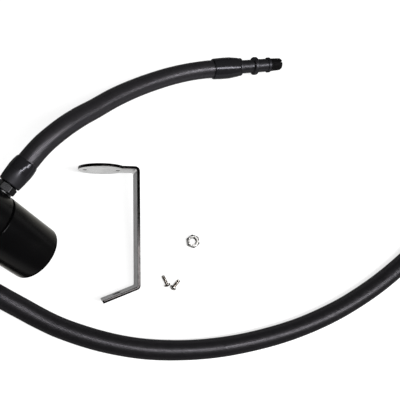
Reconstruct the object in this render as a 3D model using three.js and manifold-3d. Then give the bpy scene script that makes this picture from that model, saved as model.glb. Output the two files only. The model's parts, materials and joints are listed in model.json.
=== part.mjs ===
// Crankcase oil separator kit, laid out on a table: a tilted two-piece canister with its port
// fittings and inner parts, two rubber hoses with quick connectors, a bent steel bracket,
// two screws and a nut. Millimetres, +Z up, the table is z = 0.
import * as THREE from 'three';
import { mergeVertices } from 'three/addons/utils/BufferGeometryUtils.js';
import Module from 'manifold-3d';

const wasm = await Module();
wasm.setup();

// ---- driving dimensions ----
const GAP = 0.3; // clearance between neighbouring solids

const CAN = {
  radius: 27.5, // cup and cap outside
  cupHeight: 60,
  capHeight: 24,
  seam: 0.5, // open joint line between cup and cap
  wall: 2.5,
  edge: 4, // rounded bottom edge of the cup
  lean: 40.6, // degrees, axis above the table
  heading: -34.6, // degrees, from cap to cup, seen from above
  roll: 2, // degrees, turn of the ports about the canister's axis
  contact: [-48.6, -18.9], // x, y of the rounded edge's circle centre
};
const SKIRT = { outer: 24, inner: 21.5, depth: 12 }; // the cap's spigot inside the cup
const CAP_ROOF = 4;
const SEAL = { major: 25, minor: 0.7, z: 58.9, seat: 26 }; // O-ring under the cap
const BRACKET_HOLES = { pitch: 34, radius: 2, depth: 9, boss: 5 }; // tapped holes in the cap
const PORT = { z: 69.7, bore: 6.5, flat: 26.6, flatRadius: 10.5 };
const WASHER = { inner: 6.6, outer: 8.4, thick: 1 };
const HEX = { across: 17, thick: 7 };
const BARB_START = PORT.flat + GAP + WASHER.thick + GAP + HEX.thick + 0.7; // from the axis
const BARB = { inner: 4, root: 6.2, tip: 7, length: 18.3, pitch: 5 };
const ELBOW = { reach: 51.5, bend: 9, radius: 7.4, neck: 6.9, barbStart: 13 };

const STUD = { radius: 2.5, top: 80, bottom: 24, boss: 6 };
const PLATE = { upperZ: 61.5, lowerZ: 36, thick: 1.2, upperRadius: 20.6, lowerRadius: 8.9 };
const DRAIN_HOLES = { count: 8, radius: 1.2, pitchRadius: 7 }; // in both plates
const FILTER = { inner: 5.4, outer: 8.8 };
const SPACER_OUTER = 5;
const STUD_WASHER = { outer: 5.5, thick: 1.2 };
const STUD_NUT = { across: 8, height: 4.7 };
const DROP_TUBE = { x: 13.4, outer: 4, inner: 3, bottom: 22 };

const HOSE = { radius: 10, sides: 12, diametersPerStep: 2 };
// Shrunk-on bands: each solid also stands for the hose end it covers, so it closes on the barb.
const NEAR_BAND = { length: 25.5, radius: 11.6, narrow: 10.9, bore: BARB.tip + GAP };
const FAR_BAND = { length: 32, radius: 12.2, narrow: 10.8, bore: BARB.tip + GAP };

const BRACKET = {
  strip: 25.4, thick: 3.175, leg: 124.3, bend: 5, footAngle: 19.8, foot: 39.4,
  plateCentre: 38.3, plateRadius: 24, holeRadius: 2.25, studHole: 4.35, studHoleAt: 23,
  corner: [55.2, -54.2], turn: 0.7,
};
const SCREW = { shank: 2, length: 10, head: 3.6, headHeight: 2.6 };
const SCREWS = [
  { tip: [83.1, -43.1], heading: -66 },
  { tip: [100.9, -48.2], heading: -133 },
];
const NUT = { across: 13, height: 6.5, bore: 3.4, at: [117.1, -6.6], turn: 8 };

// The hoses' centre lines, from the canister's near band to the far band.
const HOSE_1_ROUTE = [
  [-53.4, 59.4, 66.2], [-46, 69.6, 66.4], [-38.3, 79.2, 65.4], [-22.8, 96, 60.2],
  [-8, 110.4, 52.7], [7, 123.2, 44.8], [27, 140, 36.3], [48.5, 155.4, 28], [71, 168.9, 20.9],
  [94, 180.4, 15.6], [118, 189.2, 12.8], [138.1, 194, 12.3], [144.9, 195.1, 12.3],
];
const HOSE_2_ROUTE = [
  [-95.6, -49, 38], [-89.4, -53.3, 31.6], [-83.8, -57, 27], [-77.5, -61, 22.8],
  [-69, -66.3, 18.1], [-58, -72.9, 14], [-41.5, -82.6, 10.9], [-21, -92.8, 10.1],
  [17.5, -106.5, 10.2], [57, -115.4, 10.1], [98.5, -119, 10.1], [141, -118, 10.1],
  [186.5, -112, 10.1], [234.5, -100.8, 10.1], [284.5, -82.6, 10.1], [331, -59, 10.2],
  [367.6, -35.5, 10.8], [383.5, -23.7, 11.6], [396.1, -13.2, 12.3], [403.9, -6.2, 12.3],
];

// ---- materials ----
const finish = (color, roughness, metalness) =>
  new THREE.MeshStandardMaterial({ color, roughness, metalness });
const BLACK_ANODISED = [0x17171a, 0.38, 0.7];
const BLACK_RUBBER = [0x1c1d1f, 0.75, 0];
const BLACK_BAND = [0x111113, 0.3, 0];
const BLACK_NYLON = [0x1a1a1b, 0.6, 0];
const STEEL = [0xb9b9ba, 0.25, 1];
const BRIGHT_STEEL = [0xcfcfcf, 0.18, 1];

// ---- small geometry helpers ----
const rad = THREE.MathUtils.degToRad;

/** Turned solid about +Z from [radius, z] points listed from bottom to top on the outside. */
function turned(points, segments = 40) {
  const profile = points.map(([r, z]) => new THREE.Vector2(r, z));
  return new THREE.LatheGeometry(profile, segments).rotateX(Math.PI / 2);
}

/** Solid ring or sleeve about +Z: the closed outline is listed counter-clockwise. */
function ring(points, segments = 40) {
  return turned([...points, points[0]], segments);
}

function cylinder(radius, z0, z1, segments = 32) {
  return turned([[0, z0], [radius, z0], [radius, z1], [0, z1]], segments);
}

function hexPrism(across, z0, z1) {
  return cylinder(across / Math.sqrt(3), z0, z1, 6);
}

function toSolid(geometry) {
  const bare = geometry.clone();
  bare.deleteAttribute('normal');
  bare.deleteAttribute('uv');
  const merged = mergeVertices(bare, 1e-4);
  const index = Array.from(merged.index.array);
  const triangles = [];
  for (let i = 0; i < index.length; i += 3) {
    const [a, b, c] = index.slice(i, i + 3);
    if (a !== b && b !== c && c !== a) triangles.push(a, b, c);
  }
  return new wasm.Manifold(new wasm.Mesh({
    numProp: 3,
    vertProperties: new Float32Array(merged.attributes.position.array),
    triVerts: new Uint32Array(triangles),
  }));
}

function toGeometry(solid) {
  const mesh = solid.getMesh();
  const geometry = new THREE.BufferGeometry();
  geometry.setAttribute('position', new THREE.BufferAttribute(mesh.vertProperties, 3));
  geometry.setIndex(new THREE.BufferAttribute(mesh.triVerts, 1));
  geometry.computeVertexNormals();
  return geometry;
}

function piece(name, geometry, look) {
  const mesh = new THREE.Mesh(geometry, finish(...look));
  mesh.name = name;
  return mesh;
}

/** Solid round bar swept along a curve. */
function swept(curve, radius, steps, sides) {
  const section = new THREE.Shape();
  section.absarc(0, 0, radius, 0, 2 * Math.PI, false);
  const outline = new THREE.Shape(section.getPoints(sides / 2).slice(0, -1));
  return new THREE.ExtrudeGeometry(outline, { steps, extrudePath: curve });
}

/** Quarter bend from +Z at the origin towards +X, as a curve. */
class QuarterBend extends THREE.Curve {
  constructor(radius) {
    super();
    this.radius = radius;
  }

  getPoint(t, target = new THREE.Vector3()) {
    const angle = (t * Math.PI) / 2;
    return target.set(this.radius * (1 - Math.cos(angle)), 0, this.radius * Math.sin(angle));
  }
}

// ---- canister ----
function cup() {
  const { radius: R, cupHeight: H, wall, edge } = CAN;
  const inner = R - wall;
  const arc = [0, 22.5, 45, 67.5, 90].map((deg) => [
    R - edge + edge * Math.sin(rad(deg)), edge - edge * Math.cos(rad(deg)),
  ]);
  return piece('cup', turned([
    [0, 0.6], [19.5, 0.6], [20.5, 0], ...arc, [R, H - 0.8], [R - 0.7, H],
    [SEAL.seat, H], [SEAL.seat, SEAL.z - 1], [inner, SEAL.z - 1], [inner, 7], [inner - 3, 4], [0, 4],
  ]), BLACK_ANODISED);
}

function cap() {
  const { radius: R, seam, cupHeight, capHeight } = CAN;
  const z0 = cupHeight + seam;
  const z1 = z0 + capHeight;
  const roof = z1 - CAP_ROOF;
  let solid = toSolid(ring([
    [SKIRT.inner, z0 - SKIRT.depth], [SKIRT.outer - 0.8, z0 - SKIRT.depth],
    [SKIRT.outer, z0 - SKIRT.depth + 0.8], [SKIRT.outer, z0], [R - 0.7, z0], [R, z0 + 0.8],
    [R, z1 - 1], [R - 1, z1], [R - 2, z1], [R - 2, roof], [SKIRT.inner, roof],
  ]));
  solid = solid.add(toSolid(cylinder(R - 1.5, roof, z1, 40)));
  for (const side of [-1, 1]) {
    const y = (side * BRACKET_HOLES.pitch) / 2;
    const boss = toSolid(cylinder(BRACKET_HOLES.boss, z1 - BRACKET_HOLES.depth - 2, z1 - 1, 20));
    const hole = toSolid(cylinder(BRACKET_HOLES.radius, z1 - BRACKET_HOLES.depth, z1 + 1, 16));
    solid = solid.add(boss.translate([0, y, 0])).subtract(hole.translate([0, y, 0]));
    const bore = cylinder(PORT.bore, 0, 40, 32).rotateY((side * Math.PI) / 2);
    const flat = cylinder(PORT.flatRadius, PORT.flat, 40, 40).rotateY((side * Math.PI) / 2);
    solid = solid.subtract(toSolid(bore.translate(0, 0, PORT.z)));
    solid = solid.subtract(toSolid(flat.translate(0, 0, PORT.z)));
  }
  const boss = toSolid(cylinder(6, roof - STUD.boss, roof + 1, 20));
  const socket = toSolid(cylinder(STUD.radius + GAP, roof - STUD.boss - 1, STUD.top + GAP, 16));
  return piece('cap', toGeometry(solid.add(boss).subtract(socket)), BLACK_ANODISED);
}

function cupSeal() {
  const torus = new THREE.TorusGeometry(SEAL.major, SEAL.minor, 6, 40);
  return piece('cup_o_ring', torus.translate(0, 0, SEAL.z), BLACK_RUBBER);
}

/** Hose barb outline: saw-tooth rings from z = 0 to its tip, as [radius, z] points. */
function barbOutline(z0) {
  const points = [];
  for (let z = z0; z + BARB.pitch < z0 + BARB.length; z += BARB.pitch) {
    points.push([BARB.root, z], [BARB.tip, z + 0.6], [BARB.root, z + BARB.pitch - 0.4]);
  }
  points.push([BARB.root, z0 + BARB.length - 1], [BARB.root - 0.8, z0 + BARB.length]);
  return points;
}

/** Threaded stub, hex and everything on the port's own axis up to `end`, along +Z. */
function portStub(outline) {
  const base = PORT.flat + GAP + WASHER.thick + GAP;
  const profile = [[0, SKIRT.inner - 1.5], [6, SKIRT.inner - 1.5], [6, base + 1], ...outline(base)];
  return toSolid(turned([...profile, [0, profile.at(-1)[1]]], 24))
    .add(toSolid(hexPrism(HEX.across, base, base + HEX.thick).rotateZ(rad(30))));
}

function inletFitting() {
  const hexTop = (base) => base + HEX.thick;
  const body = portStub((base) => [
    [6, hexTop(base) - 1], [BARB.tip + 0.8, hexTop(base) - 0.5], [BARB.tip + 0.8, hexTop(base) + 0.6],
    ...barbOutline(hexTop(base) + 0.7),
  ]);
  const bore = toSolid(cylinder(BARB.inner, 0, 80, 16));
  const fitting = toGeometry(body.subtract(bore)).rotateY(Math.PI / 2);
  return piece('inlet_barb_fitting', fitting.translate(0, 0, PORT.z), BLACK_ANODISED);
}

function outletElbow() {
  const { reach, bend, radius, neck, barbStart } = ELBOW;
  const into = 0.6; // the straight necks run this far into the thicker bend
  const curve = new QuarterBend(bend);
  const corner = (r, sides) => toSolid(swept(curve, r, 6, sides).translate(0, 0, reach - bend));
  const outward = (geometry) => toSolid(geometry.rotateY(Math.PI / 2).translate(0, 0, reach));
  const stub = portStub(() => [[neck, PORT.flat + 3], [neck, reach - bend + into]]);
  const barb = outward(turned([
    [0, bend - into], [neck, bend - into], [neck, bend + 1.4], [neck + 0.9, bend + 2],
    [neck + 0.9, barbStart - 0.5], ...barbOutline(barbStart), [0, barbStart + BARB.length],
  ], 24));
  const solid = stub.add(corner(radius, 24)).add(barb)
    .subtract(toSolid(cylinder(BARB.inner, 0, reach - bend + into, 16)))
    .subtract(corner(BARB.inner - 0.2, 16))
    .subtract(outward(cylinder(BARB.inner, bend - into, 60, 16)));
  // the port's own +Z becomes -X of the canister, and the outlet's +X becomes -Z
  const geometry = toGeometry(solid).applyMatrix4(new THREE.Matrix4().makeBasis(
    new THREE.Vector3(0, 0, -1), new THREE.Vector3(0, 1, 0), new THREE.Vector3(-1, 0, 0)));
  return piece('outlet_elbow_fitting', flipped(geometry).translate(0, 0, PORT.z), BLACK_ANODISED);
}

/** Mirrored placement turns triangles inside out; this turns them back. */
function flipped(geometry) {
  const index = geometry.index.array;
  for (let i = 0; i < index.length; i += 3) [index[i], index[i + 1]] = [index[i + 1], index[i]];
  geometry.computeVertexNormals();
  return geometry;
}

function sealWasher(name, side) {
  const base = PORT.flat + GAP;
  const washer = ring([
    [WASHER.inner, base], [WASHER.outer, base], [WASHER.outer, base + WASHER.thick],
    [WASHER.inner, base + WASHER.thick],
  ], 24).rotateY((side * Math.PI) / 2);
  return piece(name, washer.translate(0, 0, PORT.z), BRIGHT_STEEL);
}

// ---- parts inside the canister ----
function centreStud() {
  return piece('centre_stud', cylinder(STUD.radius, STUD.bottom, STUD.top, 16), STEEL);
}

function platePiece(name, z, radius, drill) {
  let plate = toSolid(cylinder(radius, z, z + PLATE.thick, 32));
  const cut = (r, x, y) => {
    plate = plate.subtract(toSolid(cylinder(r, z - 1, z + PLATE.thick + 1, 10)).translate([x, y, 0]));
  };
  cut(STUD.radius + GAP, 0, 0);
  drill(cut);
  return piece(name, toGeometry(plate), STEEL);
}

function drainHoles(cut) {
  const { count, radius, pitchRadius } = DRAIN_HOLES;
  for (let i = 0; i < count; i += 1) {
    const angle = ((i + 0.5) / count) * 2 * Math.PI;
    cut(radius, pitchRadius * Math.cos(angle), pitchRadius * Math.sin(angle));
  }
}

function upperPlate() {
  return platePiece('upper_baffle_plate', PLATE.upperZ, PLATE.upperRadius, (cut) => {
    cut(DROP_TUBE.outer + GAP, DROP_TUBE.x, 0);
    drainHoles(cut);
  });
}

function lowerPlate() {
  return platePiece('lower_baffle_plate', PLATE.lowerZ, PLATE.lowerRadius, drainHoles);
}

function filterCartridge() {
  const z0 = PLATE.lowerZ + PLATE.thick + GAP;
  const z1 = PLATE.upperZ - GAP;
  return piece('mesh_filter', ring([
    [FILTER.inner, z0], [FILTER.outer, z0], [FILTER.outer, z1], [FILTER.inner, z1],
  ], 24), STEEL);
}

function filterSleeve() {
  const z0 = PLATE.lowerZ + PLATE.thick + GAP;
  const z1 = PLATE.upperZ - GAP;
  return piece('filter_spacer_sleeve', ring([
    [STUD.radius + GAP, z0], [SPACER_OUTER, z0], [SPACER_OUTER, z1], [STUD.radius + GAP, z1],
  ], 20), STEEL);
}

function studWasher() {
  const { outer, thick } = STUD_WASHER;
  const z1 = PLATE.lowerZ - GAP;
  const z0 = z1 - thick;
  return piece('stud_washer', ring([
    [STUD.radius + GAP, z0], [outer, z0], [outer, z1], [STUD.radius + GAP, z1],
  ], 24), STEEL);
}

function studNut() {
  const z1 = PLATE.lowerZ - GAP - STUD_WASHER.thick - GAP;
  const solid = toSolid(hexPrism(STUD_NUT.across, z1 - STUD_NUT.height, z1)).subtract(
    toSolid(cylinder(STUD.radius + GAP, z1 - 6, z1 + 1, 16)));
  return piece('stud_lock_nut', toGeometry(solid), STEEL);
}

/** Pipe from the inlet fitting's inner end, through a bend, down to near the cup's floor. */
function dropTube() {
  const { x, outer, inner, bottom } = DROP_TUBE;
  const bend = SKIRT.inner - 1.5 - GAP - x;
  const curve = new QuarterBend(bend);
  const pipe = (radius, z0, sides) => {
    const down = toSolid(cylinder(radius, z0, PORT.z - bend + 0.01, sides));
    return down.add(toSolid(swept(curve, radius, 6, sides).translate(0, 0, PORT.z - bend)));
  };
  const solid = pipe(outer, bottom, 20).subtract(pipe(inner, bottom - 1, 16));
  return piece('inlet_drop_tube', toGeometry(solid).translate(x, 0, 0), STEEL);
}

function canister() {
  const group = new THREE.Group();
  group.add(
    cup(), cap(), cupSeal(), inletFitting(), outletElbow(),
    sealWasher('inlet_seal_washer', 1), sealWasher('outlet_seal_washer', -1),
    centreStud(), upperPlate(), lowerPlate(), filterCartridge(), filterSleeve(),
    studWasher(), studNut(), dropTube(),
    aimed(new THREE.Vector3(BARB_START, 0, PORT.z), new THREE.Vector3(1, 0, 0),
      band('hose_1_near_band', NEAR_BAND)),
    aimed(new THREE.Vector3(-ELBOW.reach, 0, PORT.z - ELBOW.barbStart), new THREE.Vector3(0, 0, -1),
      band('hose_2_near_band', NEAR_BAND)),
  );
  const lean = rad(CAN.lean);
  const heading = rad(CAN.heading);
  const up = new THREE.Vector3(
    -Math.cos(lean) * Math.cos(heading), -Math.cos(lean) * Math.sin(heading), Math.sin(lean));
  const side = new THREE.Vector3(0, 0, 1).cross(up).normalize().negate();
  const ports = side.applyAxisAngle(up, -rad(CAN.roll));
  const across = up.clone().cross(ports);
  group.quaternion.setFromRotationMatrix(new THREE.Matrix4().makeBasis(ports, across, up));
  const edgeCentreZ = (CAN.radius - CAN.edge) * Math.cos(lean) + CAN.edge;
  group.position.set(CAN.contact[0], CAN.contact[1], edgeCentreZ).addScaledVector(up, -CAN.edge);
  return group;
}

// ---- hoses ----
function route(points) {
  return new THREE.CatmullRomCurve3(points.map((p) => new THREE.Vector3(...p)), false, 'centripetal');
}

function hose(name, points) {
  const curve = route(points);
  const steps = Math.ceil(curve.getLength() / (2 * HOSE.radius * HOSE.diametersPerStep));
  return piece(name, swept(curve, HOSE.radius, steps, HOSE.sides), BLACK_RUBBER);
}

/** Shrunk-on band about +Z, a little barrel-shaped; the hose leaves at its narrow end. */
function band(name, { length, radius, narrow, bore }) {
  return piece(name, ring([
    [bore, 0], [radius - 0.9, 0], [radius - 0.5, 0.6], [radius, length * 0.3], [radius, length * 0.6],
    [narrow, length - 1], [narrow - 0.4, length], [bore, length],
  ], 24), BLACK_BAND);
}

/** Quick connector on the hose's end, about +Z from the band's inner end. */
function connector(name) {
  const L = FAR_BAND.length;
  return piece(name, ring([
    [5, 1], [6.3, 1], [6.9, 3], [6.9, L + GAP],
    [10.3, L + GAP], [10.3, L + 3], [7.6, L + 3.6], [7.6, L + 18.4], [9.6, L + 19], [10.4, L + 20.2],
    [10.4, L + 22.6], [9.6, L + 23.8], [7.6, L + 24.4], [7.6, L + 36.6], [8.8, L + 37.6],
    [8.8, L + 40.4], [7.4, L + 41], [6.9, L + 53.6], [6, L + 55.6], [5, L + 55.6],
  ], 24), BLACK_NYLON);
}

/** Places a +Z piece at `origin` pointing along `direction`. */
function aimed(origin, direction, ...pieces) {
  const group = new THREE.Group();
  group.add(...pieces);
  group.position.copy(origin);
  group.quaternion.setFromUnitVectors(new THREE.Vector3(0, 0, 1), direction);
  return group;
}

/** A hose with the band and connector on its far end. */
function hoseSet(index, points) {
  const end = new THREE.Vector3(...points.at(-1));
  const arrives = end.clone().sub(new THREE.Vector3(...points.at(-2))).normalize();
  return [
    hose(`hose_${index}`, points),
    aimed(end.clone().addScaledVector(arrives, GAP), arrives,
      band(`hose_${index}_far_band`, FAR_BAND), connector(`hose_${index}_connector`)),
  ];
}

// ---- bracket and fasteners ----
function bracket() {
  const { strip, thick, leg, bend, footAngle, foot, plateCentre, plateRadius } = BRACKET;
  const f = rad(footAngle);
  const turn = Math.PI / 2 - f;
  const lowY = bend * Math.tan(turn / 2);
  const out = new THREE.Vector2(-foot * Math.cos(f), -foot * Math.sin(f));
  const inward = new THREE.Vector2(-Math.sin(f), Math.cos(f)).multiplyScalar(thick);
  const side = new THREE.Shape();
  side.moveTo(-plateCentre, leg);
  side.lineTo(-plateCentre, leg - thick);
  side.absarc(-bend, leg - bend, bend - thick, Math.PI / 2, 0, true);
  side.absarc(-bend, lowY, bend - thick, 0, -turn, true);
  side.lineTo(out.x + inward.x, out.y + inward.y);
  side.lineTo(out.x, out.y);
  side.absarc(-bend, lowY, bend, -turn, 0, false);
  side.absarc(-bend, leg - bend, bend, 0, Math.PI / 2, false);
  let solid = toSolid(new THREE.ExtrudeGeometry(side, { depth: strip, bevelEnabled: false, curveSegments: 5 })
    .translate(0, 0, -strip / 2));
  const plate = cylinder(plateRadius, leg - thick, leg, 48).rotateX(-Math.PI / 2);
  solid = solid.add(toSolid(plate.translate(-plateCentre, 0, 0)));
  for (const s of [-1, 1]) {
    const hole = cylinder(BRACKET.holeRadius, leg - 10, leg + 10, 20).rotateX(-Math.PI / 2);
    solid = solid.subtract(toSolid(hole.translate(-plateCentre + (s * BRACKET_HOLES.pitch) / 2, 0, 0)));
  }
  const studHole = cylinder(BRACKET.studHole, -10, 10, 24).rotateX(-Math.PI / 2).rotateZ(f);
  const at = BRACKET.studHoleAt;
  solid = solid.subtract(toSolid(studHole.translate(-at * Math.cos(f), -at * Math.sin(f), 0)));

  // It lies on the foot's edge and the round plate's rim, so the plate end is raised.
  const reach = plateCentre * Math.sin(f) + (leg - thick) * Math.cos(f);
  const tilt = Math.atan2(plateRadius - strip / 2, reach);
  const mesh = piece('bracket', toGeometry(solid), STEEL);
  const footLine = new THREE.Vector3(Math.cos(f), Math.sin(f), 0).applyAxisAngle(
    new THREE.Vector3(0, 0, 1), rad(BRACKET.turn));
  const turnAbout = new THREE.Quaternion().setFromAxisAngle(new THREE.Vector3(0, 0, 1), rad(BRACKET.turn));
  mesh.quaternion.setFromAxisAngle(footLine, tilt).multiply(turnAbout);
  const width = new THREE.Vector3(0, 0, strip / 2).applyQuaternion(mesh.quaternion);
  mesh.position.set(BRACKET.corner[0], BRACKET.corner[1], 0).add(width);
  return mesh;
}

function screw(name, { tip, heading }) {
  const { shank, length, head, headHeight } = SCREW;
  const body = turned([
    [0, 0], [shank - 0.5, 0], [shank, 0.5], [shank, length], [head - 0.2, length], [head, length + 0.3],
    [head, length + 1.1], [head - 0.8, length + 2.1], [head - 2, length + headHeight], [0, length + headHeight],
  ], 24);
  const mesh = piece(name, body, BRIGHT_STEEL);
  const dip = Math.asin((head - shank) / (length + 0.7));
  const h = rad(heading);
  const axis = new THREE.Vector3(Math.cos(dip) * Math.cos(h), Math.cos(dip) * Math.sin(h), Math.sin(dip));
  mesh.quaternion.setFromUnitVectors(new THREE.Vector3(0, 0, 1), axis);
  mesh.position.set(tip[0], tip[1], shank * Math.cos(dip) + 0.1);
  return mesh;
}

function nut() {
  const { across, height, bore, at, turn } = NUT;
  const corner = across / Math.sqrt(3);
  const flat = across / 2;
  const chamfered = toSolid(turned([
    [0, 0], [flat - 0.2, 0], [corner + 0.1, 1], [corner + 0.1, height - 1], [flat - 0.2, height], [0, height],
  ], 36));
  const hole = toSolid(turned([
    [0, -0.1], [bore + 0.7, -0.1], [bore, 0.6], [bore, height - 0.6], [bore + 0.7, height + 0.1],
    [0, height + 0.1],
  ], 24));
  const solid = toSolid(hexPrism(across, 0, height)).intersect(chamfered).subtract(hole);
  const mesh = piece('mounting_nut', toGeometry(solid), BRIGHT_STEEL);
  mesh.position.set(at[0], at[1], 0);
  mesh.rotation.z = rad(turn);
  return mesh;
}

const kit = new THREE.Group();
kit.add(canister(), ...hoseSet(1, HOSE_1_ROUTE), ...hoseSet(2, HOSE_2_ROUTE), bracket(), nut());
SCREWS.forEach((spec, i) => kit.add(screw(`bracket_screw_${i + 1}`, spec)));

export default kit;
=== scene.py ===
import json
import math

import bmesh
import bpy
import numpy as np
from mathutils import Matrix, Vector


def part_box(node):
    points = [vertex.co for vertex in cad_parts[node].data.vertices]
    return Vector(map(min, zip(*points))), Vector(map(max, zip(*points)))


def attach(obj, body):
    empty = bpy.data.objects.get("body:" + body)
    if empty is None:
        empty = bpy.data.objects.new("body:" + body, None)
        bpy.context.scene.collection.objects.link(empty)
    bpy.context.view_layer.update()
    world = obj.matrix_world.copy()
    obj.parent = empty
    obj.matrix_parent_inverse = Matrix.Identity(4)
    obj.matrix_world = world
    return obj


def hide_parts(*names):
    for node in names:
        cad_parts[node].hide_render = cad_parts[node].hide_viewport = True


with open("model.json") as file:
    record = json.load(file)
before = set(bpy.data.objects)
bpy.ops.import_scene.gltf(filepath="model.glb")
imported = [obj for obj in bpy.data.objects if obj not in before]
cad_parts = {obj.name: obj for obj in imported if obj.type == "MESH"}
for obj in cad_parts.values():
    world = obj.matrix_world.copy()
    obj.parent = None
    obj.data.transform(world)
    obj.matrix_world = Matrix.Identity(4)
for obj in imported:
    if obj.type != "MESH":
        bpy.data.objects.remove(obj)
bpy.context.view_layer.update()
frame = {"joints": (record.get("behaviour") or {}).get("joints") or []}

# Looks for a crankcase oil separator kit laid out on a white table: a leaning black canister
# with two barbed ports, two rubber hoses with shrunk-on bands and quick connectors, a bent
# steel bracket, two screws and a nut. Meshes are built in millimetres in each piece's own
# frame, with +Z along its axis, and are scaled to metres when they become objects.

MM = 0.001
SIDES = 128  # points round a turned piece
GAP = 0.3  # clearance between neighbouring solids in the CAD model
SHARP = math.radians(28)  # edges that turn more than this are drawn crisp


# ---- camera ----
CAMERA_AT = (-0.0114, -0.0552, 0.480)
CAMERA_AIM = Vector((0.2048, 0.1899, -0.9602))
CAMERA_UP = Vector((-0.0198, 0.9816, 0.1899))
LENS, SENSOR, SHIFT = 40.5, 36, 0.08  # millimetres, millimetres, part of the picture's width


def linked(made):
    bpy.context.scene.collection.objects.link(made)
    return made


def make_camera():
    forward = CAMERA_AIM.normalized()
    right = forward.cross(CAMERA_UP).normalized()
    rotation = Matrix((right, right.cross(forward), -forward)).transposed()
    data = bpy.data.cameras.new("camera")
    data.lens, data.sensor_width, data.shift_x = LENS, SENSOR, SHIFT
    camera = linked(bpy.data.objects.new("camera", data))
    camera.matrix_world = Matrix.Translation(CAMERA_AT) @ rotation.to_4x4()
    bpy.context.scene.camera = camera


make_camera()


# ---- dimensions, millimetres ----
CAN_RADIUS, CUP_HEIGHT, CAP_HEIGHT, SEAM, WALL, CUP_EDGE = 27.5, 60, 24, 0.5, 2.5, 4
CUP_FLOOR, CUP_RECESS = 4, 0.6  # heights of the floor's upper and lower face
CAP_BASE = CUP_HEIGHT + SEAM
CAP_TOP = CAP_BASE + CAP_HEIGHT
CAP_ROOF = CAP_TOP - 4
SKIRT_OUTER, SKIRT_INNER, SKIRT_DEPTH = 24, 21.5, 12
THREAD_PITCH, THREAD_RIDGE = 2.0, 0.35  # the cup unscrews two millimetres a turn
THREAD_END = 49.5  # the lower end of the cup's thread
RINGS_PER_TURN = 10  # of a thread
SEAL_RADIUS, SEAL_THICK, SEAL_Z, SEAL_SEAT = 25, 0.7, 58.9, 26
TAPPED_APART, TAPPED_RADIUS, TAPPED_DEPTH, TAPPED_BOSS = 34, 2, 9, 5
PORT_Z, PORT_BORE, PORT_FLAT, PORT_FLAT_RADIUS = 69.7, 6.5, 26.6, 10.5
WASHER_INNER, WASHER_OUTER, WASHER_THICK = 6.6, 8.4, 1
HEX_ACROSS, HEX_THICK = 17, 7
HEX_BASE = PORT_FLAT + GAP + WASHER_THICK + GAP
HEX_TOP = HEX_BASE + HEX_THICK
FITTING_START = SKIRT_INNER - 1.5  # a fitting reaches in this near to the cap's axis
FITTING_CREST, FITTING_ROOT, FITTING_PITCH = 6, 5.65, 1.0
BARB_START = HEX_TOP + 0.7
BARB_BORE, BARB_ROOT, BARB_TIP, BARB_LENGTH, BARB_PITCH = 4, 6.2, 7, 18.3, 5
ELBOW_REACH, ELBOW_BEND, ELBOW_RADIUS, ELBOW_BARB_START = 51.5, 9, 7.2, 13
STUD_RADIUS, STUD_ROOT, STUD_PITCH, STUD_TOP, STUD_BOTTOM, STUD_BOSS = 2.5, 2.1, 0.8, 80, 24, 6
PLATE_UPPER_Z, PLATE_LOWER_Z, PLATE_THICK = 61.5, 36, 1.2
PLATE_UPPER_R, PLATE_LOWER_R = 20.6, 8.9
DRAIN_HOLES, DRAIN_RADIUS, DRAIN_CIRCLE = 8, 1.2, 7  # how many, and the circle they lie on
STUD_WASHER_OUTER, STUD_WASHER_THICK, STUD_NUT_ACROSS, STUD_NUT_HEIGHT = 5.5, 1.2, 8, 4.7
SPACER_OUTER = 5
FILTER_INNER, FILTER_OUTER = 5.4, 8.8
DROP_X, DROP_OUTER, DROP_INNER, DROP_BOTTOM = 13.4, 4, 3, 22
HOSE_RADIUS, HOSE_BORE = 10, 7.05
NEAR_BAND_SIZE, FAR_BAND_SIZE = (25.5, 11.6, 10.9), (32, 12.2, 10.8)  # length, radius, end radius
FAR_BAND_LENGTH = FAR_BAND_SIZE[0]
BAND_LIP = 1.0  # the band's rolled-in end stands this far past the hose's end
STRIP_WIDTH, STRIP_THICK, STRIP_BEND = 25.4, 3.175, 5
LEG, FOOT, FOOT_ANGLE = 124.3, 39.4, math.radians(19.8)
FOOT_TURN = math.pi / 2 - FOOT_ANGLE  # the fold between foot and leg
PLATE_CENTRE, PLATE_RADIUS, PLATE_HOLE, STUD_HOLE, STUD_HOLE_AT = 38.3, 24, 2.25, 4.35, 23
BRACKET_CORNER, BRACKET_TURN = (0.0552, -0.0542), math.radians(0.7)
SCREW_RADIUS, SCREW_LENGTH, SCREW_HEAD, SCREW_HEAD_HEIGHT, SCREW_PITCH = 2, 10, 3.6, 2.6, 0.7
SCREWS = [((0.0831, -0.0431), -66), ((0.1009, -0.0482), -133)]  # tip, heading in degrees
NUT_ACROSS, NUT_HEIGHT, NUT_BORE, NUT_PITCH = 13, 6.5, 3.4, 1.25
NUT_AT, NUT_TURN = (0.1171, -0.0066), 8

# The hoses' centre lines between their bands.
HOSE_1_ROUTE = [
    (-53.4, 59.4, 66.2), (-46, 69.6, 66.4), (-38.3, 79.2, 65.4), (-22.8, 96, 60.2),
    (-8, 110.4, 52.7), (7, 123.2, 44.8), (27, 140, 36.3), (48.5, 155.4, 28), (71, 168.9, 20.9),
    (94, 180.4, 15.6), (118, 189.2, 12.8), (138.1, 194, 12.3), (144.9, 195.1, 12.3),
]
HOSE_2_ROUTE = [
    (-95.6, -49, 38), (-89.4, -53.3, 31.6), (-83.8, -57, 27), (-77.5, -61, 22.8),
    (-69, -66.3, 18.1), (-58, -72.9, 14), (-41.5, -82.6, 10.9), (-21, -92.8, 10.1),
    (17.5, -106.5, 10.2), (57, -115.4, 10.1), (98.5, -119, 10.1), (141, -118, 10.1),
    (186.5, -112, 10.1), (234.5, -100.8, 10.1), (284.5, -82.6, 10.1), (331, -59, 10.2),
    (367.6, -35.5, 10.8), (383.5, -23.7, 11.6), (396.1, -13.2, 12.3), (403.9, -6.2, 12.3),
]


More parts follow.
